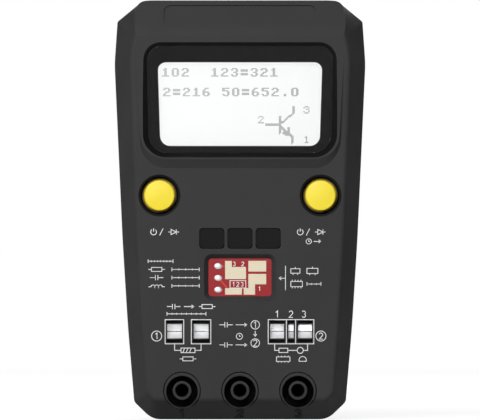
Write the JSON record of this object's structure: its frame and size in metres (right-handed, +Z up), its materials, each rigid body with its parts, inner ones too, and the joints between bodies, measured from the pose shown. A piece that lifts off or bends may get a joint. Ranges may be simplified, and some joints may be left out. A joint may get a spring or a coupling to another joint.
{
  "type": "component tester",
  "caption": "Hand-held electronic component tester with a display, yellow push buttons, spring-fork ports, a pad window, 4 mm sockets, a battery door and a tilt stand.",
  "frame": {"origin": "centre of the bounding box at the base the tester stands on", "axes": "+Z up along the tester, -Y out of its face, +X to the right seen from the front"},
  "size_m": [0.0824, 0.036, 0.138],
  "materials": {
    "case_abs": "charcoal ABS with a fine moulded grain",
    "socket_black": "black moulded plastic",
    "tile_gloss": "near-black satin plastic",
    "lens_pmma": "clear acrylic with a black printed border",
    "lcd_cell": "white backlit display cell",
    "diffuser_white": "white moulded plastic",
    "cap_yellow": "yellow ABS, satin",
    "board_green": "glass-fibre board with green solder mask",
    "board_red": "glass-fibre board with red solder mask",
    "zinc_steel": "zinc-plated steel",
    "tinned_bronze": "tin-plated phosphor bronze",
    "nickel_brass": "nickel-plated brass",
    "battery_jacket": "plain lacquered metal jacket",
    "package_epoxy": "black moulding epoxy",
    "can_aluminium": "bare aluminium can",
    "resistor_body": "lacquered ceramic"
  },
  "bodies": {
    "housing": {"battery": "battery_jacket", "battery_contacts": "tinned_bronze", "battery_terminal_plate": "socket_black", "board_screws": "zinc_steel", "case_screws": "zinc_steel", "chip_resistors": "package_epoxy", "crystal": "zinc_steel", "discharge_resistor": "resistor_body", "display_lens": "lens_pmma", "electrolytic_capacitor": "can_aluminium", "front_case": "case_abs", "key_blank_strip": "tile_gloss", "lcd_backlight": "diffuser_white", "lcd_glass": "lcd_cell", "lcd_holder": "socket_black", "lcd_pins": "tinned_bronze", "left_switch_body": "socket_black", "left_switch_cover": "zinc_steel", "main_board": "board_green", "microcontroller": "package_epoxy", "port_1_carrier": "socket_black", "port_1_contact_left": "tinned_bronze", "port_1_contact_right": "tinned_bronze", "port_2_carrier": "socket_black", "port_2_contact_1": "tinned_bronze", "port_2_contact_2": "tinned_bronze", "port_2_contact_3": "tinned_bronze", "rear_case": "case_abs", "right_switch_body": "socket_black", "right_switch_cover": "zinc_steel", "smd_board": "board_red", "smd_board_pins": "tinned_bronze", "socket_barrel_1": "nickel_brass", "socket_barrel_2": "nickel_brass", "socket_barrel_3": "nickel_brass", "socket_lugs": "tinned_bronze", "socket_shell_1": "socket_black", "socket_shell_2": "socket_black", "socket_shell_3": "socket_black", "voltage_regulator": "package_epoxy"},
    "left_button": {"left_button_cap": "cap_yellow", "left_switch_plunger": "diffuser_white"},
    "right_button": {"right_button_cap": "cap_yellow", "right_switch_plunger": "diffuser_white"},
    "battery_cover": {"battery_door": "case_abs", "battery_door_screw": "zinc_steel"},
    "stand": {"tilt_stand": "case_abs"}
  },
  "joints": [
    {"name": "left_button_press", "type": "slide", "parent": "housing", "child": "left_button", "axis": [0, 1, 0], "range_m": [0, 0.0005], "stiffness_N_per_m": 3000},
    {"name": "right_button_press", "type": "slide", "parent": "housing", "child": "right_button", "axis": [0, 1, 0], "range_m": [0, 0.0005], "stiffness_N_per_m": 3000},
    {"name": "stand_hinge", "type": "hinge", "parent": "housing", "child": "stand", "pos_m": [0, 0.0152, 0.121], "axis": [1, 0, 0], "range_deg": [0, 60]},
    {"name": "battery_cover_lift", "type": "slide", "parent": "housing", "child": "battery_cover", "axis": [0, 1, 0], "range_m": [0, 0.03]}
  ]
}
